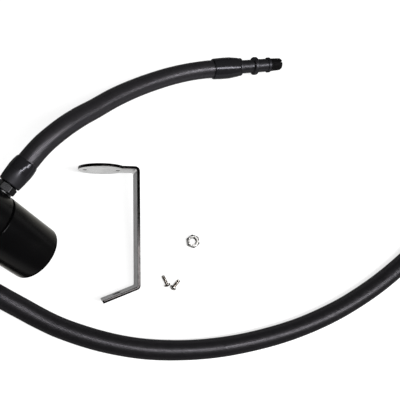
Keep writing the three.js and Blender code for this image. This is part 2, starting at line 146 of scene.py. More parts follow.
# ---- frames ----
def axes(origin, x, y, z):
    """4x4 matrix of a frame with these axes at origin, in metres."""
    matrix = Matrix((x, y, z)).transposed().to_4x4()
    matrix.translation = origin
    return matrix


def aimed(origin, direction):
    """Frame at origin whose +Z points along direction."""
    direction = Vector(direction).normalized()
    turn = Vector((0, 0, 1)).rotation_difference(direction)
    return Matrix.Translation(origin) @ turn.to_matrix().to_4x4()


def canister_frame():
    """The canister stands along the cup joint's axis, and its first port faces its washer."""
    joint = next(j for j in frame["joints"] if j["name"] == "cup_unscrew")
    up = -Vector(joint["axis"]).normalized()
    inlet, outlet = (sum(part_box(side + "_seal_washer"), Vector()) for side in ("inlet", "outlet"))
    ports = inlet - outlet
    ports = (ports - up * ports.dot(up)).normalized()
    return axes(Vector(joint["pos_m"]), ports, up.cross(ports), up)


def local(x=0, y=0, z=0, turn=0):
    """Frame inside another one, in millimetres, and degrees about its Y axis."""
    spin = Matrix.Rotation(math.radians(turn), 4, "Y")
    return Matrix.Translation((x * MM, y * MM, z * MM)) @ spin


CAN = canister_frame()
INLET = CAN @ local(z=PORT_Z, turn=90)
OUTLET = CAN @ local(z=PORT_Z, turn=-90)
NEAR_BAND_1 = INLET @ local(z=BARB_START)
NEAR_BAND_2 = CAN @ local(x=-ELBOW_REACH, z=PORT_Z - ELBOW_BARB_START, turn=180)


# ---- mesh tools ----
def bend_corner(before, corner, after, radius, steps):
    """Points of a round corner between two straight edges."""
    a, b = np.subtract(before, corner), np.subtract(after, corner)
    la, lb = np.linalg.norm(a), np.linalg.norm(b)
    a, b = a / la, b / lb
    half = math.acos(max(-1, min(1, float(a @ b)))) / 2
    if half > math.radians(88):
        return [tuple(corner)]
    back = min(radius / math.tan(half), 0.45 * la, 0.45 * lb)
    start, end = np.add(corner, a * back), np.add(corner, b * back)
    t = np.linspace(0, 1, steps + 1)[:, None]
    curve = (1 - t) ** 2 * start + 2 * t * (1 - t) * np.array(corner) + t * t * end
    return [tuple(p) for p in curve]


def rounded(points, radius=0.25, closed=False, steps=5):
    """An outline with round corners. A third number on a point is its own corner radius."""
    made = []
    for i, point in enumerate(points):
        r = point[2] if len(point) > 2 else radius
        if r == 0 or (not closed and i in (0, len(points) - 1)):
            made.append(tuple(point[:2]))
        else:
            before, after = points[i - 1][:2], points[(i + 1) % len(points)][:2]
            made += bend_corner(before, point[:2], after, r, steps)
    return made


def angles(sides):
    """Even steps round a circle."""
    return np.arange(sides) * 2 * np.pi / sides


def circle(radius, z, sides=SIDES):
    """Ring of points about +Z. Radius and z are numbers or one value for each point."""
    angle = angles(sides)
    flat = np.broadcast_to(z, sides)
    return np.stack([radius * np.cos(angle), radius * np.sin(angle), flat], axis=1)


def rings(profile, sides=SIDES):
    return [circle(r, z, sides) for r, z in profile]


def hexagon(across, sides, crisp=70):
    """Radius at each point of a hexagon with slightly rounded corners."""
    facing = np.cos(angles(sides)[:, None] - np.arange(6) * np.pi / 3).clip(0, None)
    return across / 2 / (facing**crisp).sum(axis=1) ** (1 / crisp)


def hex_block(across, z0, z1, sides, crown=0.96):
    """Rings of a hexagon whose corners are turned down to a cone at both ends."""
    radius = hexagon(across, sides)
    flat = across / 2 * crown
    drop = (radius - flat).clip(0, None) * math.tan(math.radians(30))
    return [
        circle(flat, z0, sides), circle(radius, z0 + drop, sides),
        circle(radius, z1 - drop, sides), circle(flat, z1, sides),
    ]


def thread(crest, root, pitch, z0, z1, sides=SIDES):
    """Rings of a right-handed screw thread about +Z that runs out at both ends. Crest and
    root are radii; the crest is the smaller one in a nut or a tapped hole."""
    turn = np.arange(sides) / sides
    count = max(2, math.ceil(abs(z1 - z0) / pitch * RINGS_PER_TURN))
    made = []
    for z in np.linspace(z0, z1, count + 1):
        phase = (z / pitch - turn) % 1
        valley = (1.25 * np.abs(2 * phase - 1) - 0.12).clip(0, 1)  # sloped flanks, flat crests
        run_out = min(1, abs(z - z0) / pitch, abs(z1 - z) / pitch)
        made.append(circle(root + (crest - root) * run_out * (1 - valley), z, sides))
    return made


CORNERS = [(-1, -1), (1, -1), (1, 1), (-1, 1)]


def between(count):
    """Faces between a loop of points and the loop listed after it."""
    return [(i, (i + 1) % count, (i + 1) % count + count, i + count) for i in range(count)]


def skin(ring_list, tips=None):
    """Points and faces over rings. Without tips the last ring joins the first, as in a tube
    wall; tips are the heights at which the two ends close on the axis."""
    grid = np.array(ring_list, float)
    m, n = grid.shape[:2]
    index = np.arange(m * n).reshape(m, n)
    after = np.roll(index, -1, axis=1)
    faces = []
    for i in range(m if tips is None else m - 1):
        k = (i + 1) % m
        faces += np.stack([index[i], after[i], after[k], index[k]], axis=1).tolist()
    points = grid.reshape(-1, 3)
    if tips is not None:
        points = np.concatenate([points, [[0, 0, tips[0]], [0, 0, tips[1]]]])
        faces += [[int(b), int(a), m * n] for a, b in zip(index[0], after[0])]
        faces += [[int(a), int(b), m * n + 1] for a, b in zip(index[-1], after[-1])]
    return points, faces


def turned(profile, sides=SIDES, closed=False, radius=0.25):
    """Turned solid: an outline that starts and ends on the axis, or a closed one."""
    if closed:
        return skin(rings(rounded(profile, radius, closed=True), sides))
    smooth = rounded(profile, radius)
    return skin(rings(smooth[1:-1], sides), tips=(profile[0][1], profile[-1][1]))


def plain_ring(inner, outer, z0, z1, sides, radius=0.25):
    outline = [(inner, z0), (outer, z0), (outer, z1), (inner, z1)]
    return turned(outline, sides, closed=True, radius=radius)


def rod(radius, z0, z1, sides):
    return skin(rings([(radius, z0), (radius, z1)], sides), tips=(z0, z1))


def nut_solid(across, height, bore, pitch, sides=192):
    """Hexagon nut about +Z with turned corners and a cut thread."""
    outside = hex_block(across, 0, height, sides, crown=0.9)
    ease = 0.6
    hole = [circle(bore + ease, height, sides)]
    hole += thread(bore, bore + 0.54 * pitch, pitch, height - ease, ease, sides)
    hole += [circle(bore + ease, 0, sides)]
    return skin(outside + hole)


def quarter_bend(points, start, radius):
    """Bends what stands along +Z towards +X, by a quarter turn that begins at height start."""
    p = np.array(points, float)
    angle = ((p[:, 2] - start) / radius).clip(0, np.pi / 2)
    past = (p[:, 2] - start - radius * np.pi / 2).clip(0, None)
    x, z = p[:, 0].copy(), p[:, 2].copy()
    before = z < start
    p[:, 0] = radius - (radius - x) * np.cos(angle) + past
    p[:, 2] = start + (radius - x) * np.sin(angle)
    p[before, 0], p[before, 2] = x[before], z[before]
    return p


def new_object(name, *solids):
    """One mesh object from (points, faces) solids in millimetres."""
    points, faces, count = [], [], 0
    for p, f in solids:
        points.append(np.array(p, float) * MM)
        faces += [[i + count for i in face] for face in f]
        count += len(p)
    mesh = bpy.data.meshes.new(name)
    mesh.from_pydata(np.concatenate(points).tolist(), [], faces)
    mesh.validate()
    return linked(bpy.data.objects.new(name, mesh))


def combine(target, tool, operation="DIFFERENCE"):
    """Cuts target with tool or joins them, and removes tool."""
    step = target.modifiers.new("step", "BOOLEAN")
    step.object, step.operation, step.solver = tool, operation, "EXACT"
    graph = bpy.context.evaluated_depsgraph_get()
    mesh = bpy.data.meshes.new_from_object(target.evaluated_get(graph))
    target.modifiers.clear()
    target.data = mesh
    bpy.data.objects.remove(tool)
    return target


def cut(target, *solids):
    for solid in solids:
        combine(target, new_object("tool", solid))
    return target


def moved(solid, matrix):
    """A solid placed by a frame whose translation is in metres."""
    points, faces = solid
    turn = np.array(matrix.to_3x3())
    return np.array(points) @ turn.T + np.array(matrix.translation) / MM, faces


def finish_piece(made, place, looks, body, slot, *nodes):
    """Places a piece, shades and paints it, ties it to its body and hides the CAD nodes that it stands
    for. A tuple of looks goes by the material numbers that the faces have already. The slot is not
    used."""
    made.matrix_world = place
    if not isinstance(looks, tuple):
        looks = (looks,)
        made.data.materials.clear()
    for look in looks:
        made.data.materials.append(look)
    made.data.polygons.foreach_set("use_smooth", [True] * len(made.data.polygons))
    made.data.set_sharp_from_angle(angle=SHARP)
    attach(made, body)
    if nodes:
        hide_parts(*nodes)
    return made


# ---- materials ----
RIM = 0.5  # edge tint that keeps the rims of matt black surfaces from glaring


class Look:
    """A Principled material and short ways to add texture nodes to it. Level and tint are its
    specular level and the grey or colour that tints its rims."""

    def __init__(self, name, colour, roughness, metallic=0.0, level=0.5, tint=1.0):
        self.material = bpy.data.materials.new(name)
        self.material.use_nodes = True
        self.tree = self.material.node_tree
        self.shader = self.tree.nodes["Principled BSDF"]
        self.colour = (*colour, 1)
        self.shader.inputs["Base Color"].default_value = self.colour
        self.shader.inputs["Roughness"].default_value = roughness
        self.shader.inputs["Metallic"].default_value = metallic
        self.shader.inputs["Specular IOR Level"].default_value = level
        tint = tint if isinstance(tint, tuple) else (tint, tint, tint)
        self.shader.inputs["Specular Tint"].default_value = (*tint, 1)
        self.normal = None

    def node(self, kind, inputs=(), **settings):
        made = self.tree.nodes.new("ShaderNode" + kind)
        for key, value in settings.items():
            setattr(made, key, value)
        for key, value in dict(inputs).items():
            if isinstance(value, bpy.types.NodeSocket):
                self.tree.links.new(value, made.inputs[key])
            else:
                made.inputs[key].default_value = value
        return made

    def place(self, scale=(1, 1, 1), laid=False):
        """Coordinates in metres: the piece's own frame, or along and around a laid surface."""
        source = self.node("UVMap", uv_map="lay").outputs["UV"] if laid else (
            self.node("TexCoord").outputs["Object"])
        return self.node("Mapping", {"Vector": source, "Scale": scale}).outputs["Vector"]

    def noise(self, scale, detail, stretch=(1, 1, 1), laid=False):
        vector = self.place(stretch, laid)
        inputs = {"Vector": vector, "Scale": scale, "Detail": detail}
        return self.node("TexNoise", inputs).outputs["Fac"]

    def wave(self, scale, direction, distortion, laid=False, stretch=(1, 1, 1)):
        inputs = {"Vector": self.place(stretch, laid), "Scale": scale, "Distortion": distortion}
        return self.node("TexWave", inputs, bands_direction=direction).outputs["Fac"]

    def ramp(self, value, low, high, from_=0.3, to=0.7):
        """Maps a texture's value from one range to another."""
        inputs = {"Value": value, "From Min": from_, "From Max": to, "To Min": low, "To Max": high}
        return self.node("MapRange", inputs).outputs["Result"]

    def mix_colour(self, noise, most, other, from_=0.3, to=0.7):
        """Blends the base colour towards other, up to this much, where the noise is high."""
        made = self.node("Mix", data_type="RGBA")
        self.tree.links.new(self.ramp(noise, 0, most, from_, to), made.inputs["Factor"])
        made.inputs["A"].default_value = self.colour
        made.inputs["B"].default_value = (*other, 1)
        self.tree.links.new(made.outputs["Result"], self.shader.inputs["Base Color"])

    def vary_roughness(self, value, low, high, from_=0.3, to=0.7):
        result = self.ramp(value, low, high, from_, to)
        self.tree.links.new(result, self.shader.inputs["Roughness"])

    def bump(self, height, depth_mm, strength):
        """Adds relief of this depth, over any relief that is there already."""
        inputs = {"Height": height, "Distance": depth_mm * MM, "Strength": strength}
        if self.normal is not None:
            inputs["Normal"] = self.normal
        self.normal = self.node("Bump", inputs).outputs["Normal"]
        self.tree.links.new(self.normal, self.shader.inputs["Normal"])


def anodised_look():
    look = Look("black_anodised", (0.0058, 0.0057, 0.0062), 0.24, 0.7, 0.06, (0.75, 0.74, 0.7))
    look.vary_roughness(look.noise(60, 4), 0.2, 0.28)
    look.mix_colour(look.noise(25, 2), 0.5, (0.0078, 0.0077, 0.0075))
    look.bump(look.wave(700, "Z", 1.5), 0.0015, 0.5)  # turning marks round the axis
    look.bump(look.noise(9000, 2), 0.003, 0.25)  # blasted grain under the dye
    return look.material


def shaded_bevel_look():
    """The turned edges of the cup and cap, smoother than their blasted walls, with their rims tinted
    nearly black: painted shade for the dark outline at the cup's foot and the dark line along the
    seam.
    """
    look = Look("black_bevel_painted_shade", (0.009, 0.009, 0.0094), 0.22, 0.9, 0.05, 0.1)
    look.vary_roughness(look.noise(60, 4), 0.18, 0.28)
    look.bump(look.noise(5000, 2), 0.002, 0.25)
    return look.material


def fitting_look():
    look = Look("black_fitting", (0.0055, 0.0055, 0.006), 0.25, 0.8, 0.2, RIM)
    look.vary_roughness(look.noise(180, 3), 0.2, 0.32)
    look.mix_colour(look.noise(90, 2), 0.6, (0.008, 0.008, 0.0079))
    look.bump(look.noise(5000, 2), 0.004, 0.3)
    return look.material


def hose_look(name, tone):
    base = (0.031 * tone, 0.0298 * tone, 0.0334 * tone)
    look = Look(name, base, 0.36, 0.7, 0.08, 0.25)
    look.vary_roughness(look.noise(150, 4), 0.3, 0.42)
    look.mix_colour(look.noise(700, 3, (1, 0.2, 1), laid=True), 0.55,
                    (0.041 * tone, 0.039 * tone, 0.041 * tone))
    weft = look.wave(245, "X", 1.2, laid=True, stretch=(1, 0.06, 1))  # the wrap's cross threads
    warp = look.wave(240, "Y", 2.0, laid=True, stretch=(0.3, 1, 1))
    look.bump(weft, 0.09, 0.9)
    look.bump(warp, 0.03, 0.6)
    look.bump(look.noise(2500, 2), 0.012, 0.5)
    return look.material


def band_look(name, matt_end):
    """Glossy heat-shrunk sleeve. A near band is scorched matt where it was heated at its start."""
    look = Look(name, (0.0185, 0.0182, 0.0204), 0.2, 0.6, 0.1, 0.15)
    if matt_end:
        along = look.node("SeparateXYZ", {"Vector": look.place()}).outputs["Z"]
        look.vary_roughness(along, 0.55, 0.17, 0.006, 0.015)
    else:
        look.vary_roughness(look.noise(220, 3), 0.15, 0.26)
    look.bump(look.noise(260, 2, (1, 1, 0.35)), 0.05, 0.5)  # soft waves left by shrinking
    look.bump(look.noise(3500, 2), 0.003, 0.25)
    return look.material


def nylon_look():
    look = Look("black_nylon", (0.0215, 0.0215, 0.024), 0.34, 0.7, 0.06, 0.2)
    look.vary_roughness(look.noise(300, 3), 0.3, 0.44)
    look.mix_colour(look.noise(150, 2), 0.6, (0.029, 0.028, 0.0305))
    look.bump(look.noise(2200, 3), 0.015, 0.4)
    return look.material


def seal_look(name, tone, level):
    look = Look(name, (0.009 * tone, 0.0085 * tone, 0.0088 * tone), 0.68, 0.5, level, RIM)
    look.vary_roughness(look.noise(400, 3), 0.6, 0.8)
    look.mix_colour(look.noise(900, 3), 0.7, (0.018 * tone, 0.017 * tone, 0.0175 * tone))
    look.bump(look.noise(1500, 3, (1, 1, 0.25)), 0.06, 0.7)
    return look.material


def steel_look(name, colour, roughness, along=(1, 1, 1), laid=False, dirt=(0.30, 0.28, 0.27),
               rim=0.7):
    """Bare or plated steel with fine lines one way and soft, duller blotches."""
    look = Look(name, colour, roughness, 1.0, tint=rim)
    lines = look.noise(900, 4, along, laid)
    look.vary_roughness(lines, roughness - 0.08, roughness + 0.12)
    look.mix_colour(look.noise(70, 4, laid=laid), 0.45, dirt, 0.45, 0.75)
    look.bump(lines, 0.01, 0.5)
    look.bump(look.noise(350, 3, laid=laid), 0.02, 0.3)
    return look.material


def mesh_look():
    look = Look("steel_mesh", (0.5, 0.5, 0.49), 0.32, 1.0)
    look.vary_roughness(look.noise(800, 3), 0.26, 0.42)
    look.mix_colour(look.noise(300, 3), 0.5, (0.36, 0.33, 0.29))
    return look.material


# The bevel look paints shade on the cup's and cap's rounded edges.
ANODISED, SHADED_BEVEL, FITTING = anodised_look(), shaded_bevel_look(), fitting_look()
NEAR_BAND, FAR_BAND = band_look("shrink_band_near", True), band_look("shrink_band_far", False)
# The second hose gets a darker copy of the same rubber: painted shade that dims its wall and its
# highlight.
HOSES = {1: hose_look("hose_rubber_1", 0.92), 2: hose_look("hose_rubber_2_painted_shade", 0.52)}
NYLON = nylon_look()
SEAL, TIP_RUBBER = seal_look("seal_rubber", 1.0, 0.3), seal_look("tip_rubber", 0.3, 0.1)
BRUSHED = dict(along=(0.04, 1, 1), laid=True, dirt=(0.16, 0.15, 0.145))
BRACKET_STEEL = steel_look("bracket_steel", (0.58, 0.578, 0.574), 0.3, **BRUSHED)
# The leg and foot get a darker copy of the bracket steel: painted shade for the shadowed table that
# they reflect.
BRACKET_LEG_SHADED = steel_look("bracket_leg_painted_shade", (0.325, 0.325, 0.327), 0.34, rim=0.45, **BRUSHED)
# Near-black, glossy cut edges: painted shade in place of the dark reflections along the bracket's
# edges.
BRACKET_EDGE_SHADED = steel_look("bracket_cut_edge_painted_shade", (0.0058, 0.0055, 0.0056), 0.15, (0.3, 1, 1),
                          laid=True, dirt=(0.018, 0.0156, 0.015))
FASTENER = steel_look("fastener_steel", (0.34, 0.32, 0.30), 0.22, dirt=(0.16, 0.135, 0.115))
NUT_STEEL = steel_look("nut_steel", (0.36, 0.355, 0.345), 0.2, dirt=(0.24, 0.23, 0.215), rim=0.5)
INNER_STEEL = steel_look("inner_steel", (0.6, 0.6, 0.6), 0.3, (1, 1, 0.05))
WASHER_METAL = steel_look("seal_washer", (0.05, 0.05, 0.052), 0.3, dirt=(0.03, 0.03, 0.03))
MESH_STEEL = mesh_look()


# ---- hoses ----
def through(points, step=0.0005):
    """Smooth curve through points (centripetal Catmull-Rom), resampled at even steps."""
    p = np.array(points, float)
    p = np.concatenate([[2 * p[0] - p[1]], p, [2 * p[-1] - p[-2]]])
    made = []
    t = np.linspace(0, 1, 60, endpoint=False)[:, None]
    for a, b, c, d in zip(p, p[1:], p[2:], p[3:]):
        x, y, z = (math.sqrt(np.linalg.norm(v)) for v in (b - a, c - b, d - c))
        m1 = ((b - a) / x - (c - a) / (x + y) + (c - b) / y) * y
        m2 = ((c - b) / y - (d - b) / (y + z) + (d - c) / z) * y
        h = 2 * t**3 - 3 * t**2 + 1
        made.append(h * b + (t**3 - 2 * t**2 + t) * m1 + (1 - h) * c + (t**3 - t**2) * m2)
    line = np.concatenate([*made, p[-2:-1]])
    along = np.concatenate([[0], np.cumsum(np.linalg.norm(np.diff(line, axis=0), axis=1))])
    at = np.linspace(0, along[-1], round(along[-1] / step) + 1)
    return np.stack([np.interp(at, along, line[:, k]) for k in range(3)], axis=1), at


def carried_frames(line):
    """Two unit vectors across the line at each point, carried along it without twist."""
    tangent = np.gradient(line, axis=0)
    tangent /= np.linalg.norm(tangent, axis=1)[:, None]
    side = np.cross(tangent[0], (0, 0, 1))
    sides = []
    for t in tangent:
        side = side - t * (side @ t)
        side /= np.linalg.norm(side)
        sides.append(side)
    sides = np.array(sides)
    return sides, np.cross(tangent, sides)


WRAP_PITCH, WRAP_RIDGE = 0.046, 0.00009  # metres; the overlap of the curing wrap
SWELL, OVAL = 0.00004, 0.00003  # metres; how uneven the wall is along and around
END_ROUND, END_DEPTH = 0.0008, 0.0006  # metres; the eased edge of a cut end
INNER_STEP = 10  # the bore needs only every tenth ring of the wall


def hose_mesh(name, line, along, sides=72):
    """A hose wall round a line in metres, with a faint spiral ridge where the curing wrap
    overlapped, and a laid-out map of metres along and around it."""
    across, up = carried_frames(line)
    angle = angles(sides)
    cos, sin = (values[None, :, None] for values in (np.cos(angle), np.sin(angle)))
    direction = across[:, None] * cos + up[:, None] * sin
    wrap = (along[:, None] / WRAP_PITCH - angle[None, :] / (2 * np.pi)) % 1
    ridge = WRAP_RIDGE * np.exp(-((wrap - 0.5) / 0.012) ** 2)
    swell = SWELL * np.sin(along * 95)[:, None] + OVAL * np.sin(2 * angle + 0.7)[None, :]
    from_end = np.minimum(along, along[-1] - along)[:, None]
    eased = END_DEPTH * (1 - (from_end / END_ROUND).clip(0, 1)) ** 2
    radius = HOSE_RADIUS * MM + ridge + swell - eased
    outer = line[:, None] + direction * radius[:, :, None]
    inside = np.arange(len(line) - 1, -1, -INNER_STEP)
    inner = line[inside][:, None] + direction[inside] * HOSE_BORE * MM
    points, faces = skin(np.concatenate([outer, inner]))
    made = new_object(name, (points / MM, faces))
    s = np.concatenate([along, along[inside]])
    rows, columns = np.divmod(np.arange(len(faces)), sides)
    s0, s1 = s[rows], s[(rows + 1) % len(s)]
    v0, v1 = (k * 2 * np.pi * HOSE_RADIUS * MM / sides for k in (columns, columns + 1))
    layout = made.data.uv_layers.new(name="lay")
    corners = np.stack([s0, v0, s0, v1, s1, v1, s1, v0], axis=1)
    layout.data.foreach_set("uv", corners.ravel().astype(np.float32))
    return made


RIPPLES, RIPPLE_SIZE = 7, 0.022


def band_mesh(name, length, radius, end, far, sides=96):
    """Shrunk-on sleeve about +Z, rolled in over the hose's end: barrel-shaped on the far end,
    a long cone on the near one. Seeded ripples stand for uneven shrinking."""
    bore, lip = HOSE_RADIUS + 0.12, BARB_TIP + 0.4
    if far:
        start, belly = radius - 0.9, [(radius - 0.05, 0.27), (radius, 0.45), (radius - 0.1, 0.64)]
        inner = [(lip, length), (lip, length - BAND_LIP + 0.2), (bore, length - BAND_LIP + 0.1),
                 (bore, 0.0)]
    else:
        start, belly = radius - 1.7, [(radius - 0.6, 0.27), (radius, 0.6), (radius - 0.1, 0.78)]
        inner = [(bore, length), (bore, BAND_LIP - 0.1), (lip, BAND_LIP - 0.2), (lip, 0.0)]
    key = [(start, 0.0), (start + 0.45, 0.7), *((r, length * part) for r, part in belly),
           (end + 0.25, length - 2.6), (end, length - 0.9), (end - 0.4, length)]
    outer = rounded([(*p, 3.0) for p in key], steps=8)
    wall = np.array(rings(outer + rounded([(*p, 0.15) for p in inner]), sides))
    draw = np.random.default_rng(len(name) + int(length))
    turn = angles(sides)
    for _ in range(RIPPLES):
        around, rise, phase = draw.integers(4, 15), draw.uniform(0, 0.15), draw.uniform(0, 6.3)
        size = RIPPLE_SIZE * draw.uniform(0.3, 1)
        z = wall[: len(outer), :, 2]
        ripple = size * np.sin(around * turn[None, :] + rise * z + phase)
        ripple *= np.sin(np.pi * (z / length).clip(0, 1))
        wall[: len(outer), :, :2] *= (1 + ripple / radius)[:, :, None]
    return new_object(name, skin(wall))


def connector_meshes(name):
    """Nylon quick connector about +Z, and the rubber nose on its end; heights run from the
    band's inner end."""
    L = FAR_BAND_LENGTH
    nose = L + 41.2
    body = turned([
        (5, 1, 0.4), (6.3, 1, 0.3), (6.9, 3), (6.9, L + 0.3, 0.05), (10.3, L + 0.3, 0.5),
        (10.3, L + 3, 0.5), (7.6, L + 3.3, 0.5), (7.6, L + 18.6, 0.4), (10.4, L + 19, 1.4),
        (10.4, L + 23.6, 1.6), (7.6, L + 24.3, 0.5), (7.6, L + 37.2, 0.3), (8.8, L + 37.5, 0.4),
        (8.8, L + 40.4, 0.4), (6.4, L + 40.9, 0.1), (6.1, L + 52, 0.2), (5, L + 52, 0.3),
    ], closed=True)
    ribs = []
    for k in range(7):
        z, r = nose + 0.8 + k * 1.62, 7.42 - 0.05 * k
        ribs += [(r - 0.16, z, 0.15), (r, z + 0.4, 0.2), (r, z + 1.0, 0.2), (r - 0.16, z + 1.4, 0.15)]
    sleeve = turned([
        (6.65, nose, 0.1), (7.3, nose, 0.2), *ribs, (6.9, L + 54.1, 0.3), (6.0, L + 55.6, 0.4),
        (5.2, L + 55.6, 0.2), (5.2, L + 52.4, 0.1), (6.35, L + 52.4, 0.1),
    ], closed=True)
    plastic = new_object(name, body)
    rubber = new_object(name + "_nose", sleeve)
    slot = np.array([(12 * x, 0.65 * y, z) for z in (L + 53.3, L + 60) for x, y in CORNERS])
    for turn in (10, 100):
        spin = Matrix.Rotation(math.radians(turn), 4, "Z")
        cut(rubber, moved((slot, [(3, 2, 1, 0), (4, 5, 6, 7), *between(4)]), spin))
    return plastic, rubber


def hose_set(index, route, near_band):
    """A hose from its barb to its connector, with its two bands. The line runs straight
    through each band."""
    name = f"hose_{index}"
    route = [tuple(value * MM for value in point) for point in route]
    out = near_band.to_3x3() @ Vector((0, 0, 1))
    lead = [near_band.translation + out * d * MM for d in (BAND_LIP, 9, 17)]
    end = Vector(route[-1])
    arrives = (end - Vector(route[-2])).normalized()
    far_band = aimed(end + arrives * GAP * MM, arrives)
    tail = [end + arrives * d * MM for d in (8, 16, 24, GAP + FAR_BAND_LENGTH - BAND_LIP)]
    line, along = through([*map(tuple, lead), *route, *map(tuple, tail)])
    hose = finish_piece(hose_mesh(f"{name}_rubber", line, along), Matrix.Identity(4),
                        HOSES[index], "head", "hose_rubber", name)
    bands = []
    for end, place, size, look in (("near", near_band, NEAR_BAND_SIZE, NEAR_BAND),
                                   ("far", far_band, FAR_BAND_SIZE, FAR_BAND)):
        sleeve = band_mesh(f"{name}_{end}_sleeve", *size, far=end == "far")
        bands.append(
            finish_piece(sleeve, place, look, "head", "shrink_band", f"{name}_{end}_band"))
    plastic, rubber = connector_meshes(f"{name}_quick_connector")
    finish_piece(plastic, far_band, NYLON, "head", "black_nylon", f"{name}_connector")
    finish_piece(rubber, far_band, TIP_RUBBER, "head", "seal_rubber")
    return hose, line, [*bands, plastic, rubber]


hose_1, line_1, on_hose_1 = hose_set(1, HOSE_1_ROUTE, NEAR_BAND_1)
hose_2, line_2, on_hose_2 = hose_set(2, HOSE_2_ROUTE, NEAR_BAND_2)


# ---- canister ----
BEVEL_DEPTH, BEVEL_INNER = 1.2, 22  # height of the eased edges at the seam, and where they start; these edges get painted shade


def paint_shade_on_bevels(made, low, high):
    """Gives the outer faces between two heights the second look, which paints shade on them."""
    for face in made.data.polygons:
        if low < face.center.z / MM < high and face.center.xy.length / MM > BEVEL_INNER:
            face.material_index = 1


def make_cup():
    inner = CAN_RADIUS - WALL
    arc = [(CAN_RADIUS - CUP_EDGE + CUP_EDGE * math.sin(a), CUP_EDGE - CUP_EDGE * math.cos(a))
           for a in np.linspace(0, math.pi / 2, 13)]
    outside = rounded([(0, CUP_RECESS), (19.5, CUP_RECESS, 0.3), (20.5, 0, 0.3),
                       (arc[0][0] - 0.5, 0, 0)]) + arc
    outside += [(CAN_RADIUS, z) for z in np.linspace(8, CUP_HEIGHT - 4, 12)]
    outside += rounded([(CAN_RADIUS, CUP_HEIGHT - 2), (CAN_RADIUS, CUP_HEIGHT - 1, 0.5),
                        (CAN_RADIUS - 1, CUP_HEIGHT, 0.25), (SEAL_SEAT, CUP_HEIGHT, 0.2),
                        (SEAL_SEAT, SEAL_Z - 1, 0.15), (inner, SEAL_Z - 1, 0.3),
                        (inner, SEAL_Z - 1.6)])
    mouth = thread(inner - THREAD_RIDGE, inner, THREAD_PITCH, SEAL_Z - 1.8, THREAD_END)
    floor = rounded([(inner, THREAD_END - 1.5), (inner, CUP_FLOOR + 3, 1.5),
                     (inner - 3, CUP_FLOOR, 1.5), (0, CUP_FLOOR)])
    outline = rings(outside[1:]) + mouth + rings(floor[:-1])
    made = new_object("cup_shell", skin(outline, tips=(CUP_RECESS, CUP_FLOOR)))
    # painted shade: the rounded foot and the top edge of the cup get the darker bevel look
    paint_shade_on_bevels(made, 0, CUP_EDGE)
    paint_shade_on_bevels(made, CUP_HEIGHT - BEVEL_DEPTH, CUP_HEIGHT)
    finish_piece(made, CAN, (ANODISED, SHADED_BEVEL), "cup", "black_anodised", "cup")


def make_cap():
    R = CAN_RADIUS
    skirt_low = CAP_BASE - SKIRT_DEPTH
    inside = rounded([(0, CAP_ROOF - STUD_BOSS), (6, CAP_ROOF - STUD_BOSS, 0.5), (6, CAP_ROOF, 0.8),
                      (SKIRT_INNER, CAP_ROOF, 1.5), (SKIRT_INNER, skirt_low, 0.3),
                      (SKIRT_OUTER - 0.8, skirt_low, 0.3), (SKIRT_OUTER, skirt_low + 0.8)])
    male = thread(SKIRT_OUTER + THREAD_RIDGE, SKIRT_OUTER, THREAD_PITCH, skirt_low + 1.2,
                  SEAL_Z - 1.6)
    outside = rounded([(SKIRT_OUTER, SEAL_Z - 1.4), (SKIRT_OUTER, CAP_BASE, 0.3),
                       (R - 1, CAP_BASE, 0.25), (R, CAP_BASE + 1, 0.5)] +
                      [(R, z, 0) for z in np.linspace(CAP_BASE + 2, CAP_TOP - 2, 22)] +
                      [(R, CAP_TOP - 1, 0.4), (R - 1, CAP_TOP, 0.4), (R - 1.6, CAP_TOP, 0)] +
                      [(r, CAP_TOP, 0) for r in np.linspace(R - 3, 1.5, 14)] + [(0, CAP_TOP)])
    outline = rings(inside[1:]) + male + rings(outside[:-1])
    made = new_object("cap_head", skin(outline, tips=(CAP_ROOF - STUD_BOSS, CAP_TOP)))
    for side in (-1, 1):
        boss = rod(TAPPED_BOSS, CAP_TOP - TAPPED_DEPTH - 2, CAP_TOP - 1, 40)
        boss = moved(boss, local(y=side * TAPPED_APART / 2))
        combine(made, new_object("tool", boss), "UNION")
    for side in (-1, 1):
        hole = thread(TAPPED_RADIUS - 0.32, TAPPED_RADIUS, SCREW_PITCH, CAP_TOP - TAPPED_DEPTH,
                      CAP_TOP - 0.4, 40)
        mouth = rings([(TAPPED_RADIUS - 0.1, CAP_TOP - 0.38), (TAPPED_RADIUS + 0.35, CAP_TOP + 0.05),
                       (TAPPED_RADIUS + 0.35, CAP_TOP + 1)], 40)
        tool = skin(hole + mouth, tips=(CAP_TOP - TAPPED_DEPTH - 0.8, CAP_TOP + 1))
        cut(made, moved(tool, local(y=side * TAPPED_APART / 2)))
        port = turned([(0, 15), (PORT_BORE, 15, 0), (PORT_BORE, PORT_FLAT - 0.7, 0),
                       (PORT_BORE + 0.7, PORT_FLAT, 0), (PORT_FLAT_RADIUS, PORT_FLAT, 0.4),
                       (PORT_FLAT_RADIUS, 40, 0), (0, 40)], 96)
        cut(made, moved(port, local(z=PORT_Z, turn=side * 90)))
    cut(made, rod(STUD_RADIUS + GAP, CAP_ROOF - STUD_BOSS - 1, STUD_TOP + GAP, 48))
    # painted shade: the cap's lower edge at the seam gets the darker bevel look
    paint_shade_on_bevels(made, CAP_BASE, CAP_BASE + BEVEL_DEPTH)
    finish_piece(made, CAN, (ANODISED, SHADED_BEVEL), "head", "black_anodised", "cap")


def barb_profile(z0):
    """Saw-tooth rings that hold the hose, as profile points."""
    points = []
    z = z0
    while z + BARB_PITCH < z0 + BARB_LENGTH:
        points += [(BARB_ROOT, z, 0.2), (BARB_TIP, z + 0.6, 0.15),
                   (BARB_ROOT, z + BARB_PITCH - 0.4, 0.3)]
        z += BARB_PITCH
    return points + [(BARB_ROOT, z0 + BARB_LENGTH - 1, 0.3), (BARB_ROOT - 0.8, z0 + BARB_LENGTH, 0.2)]


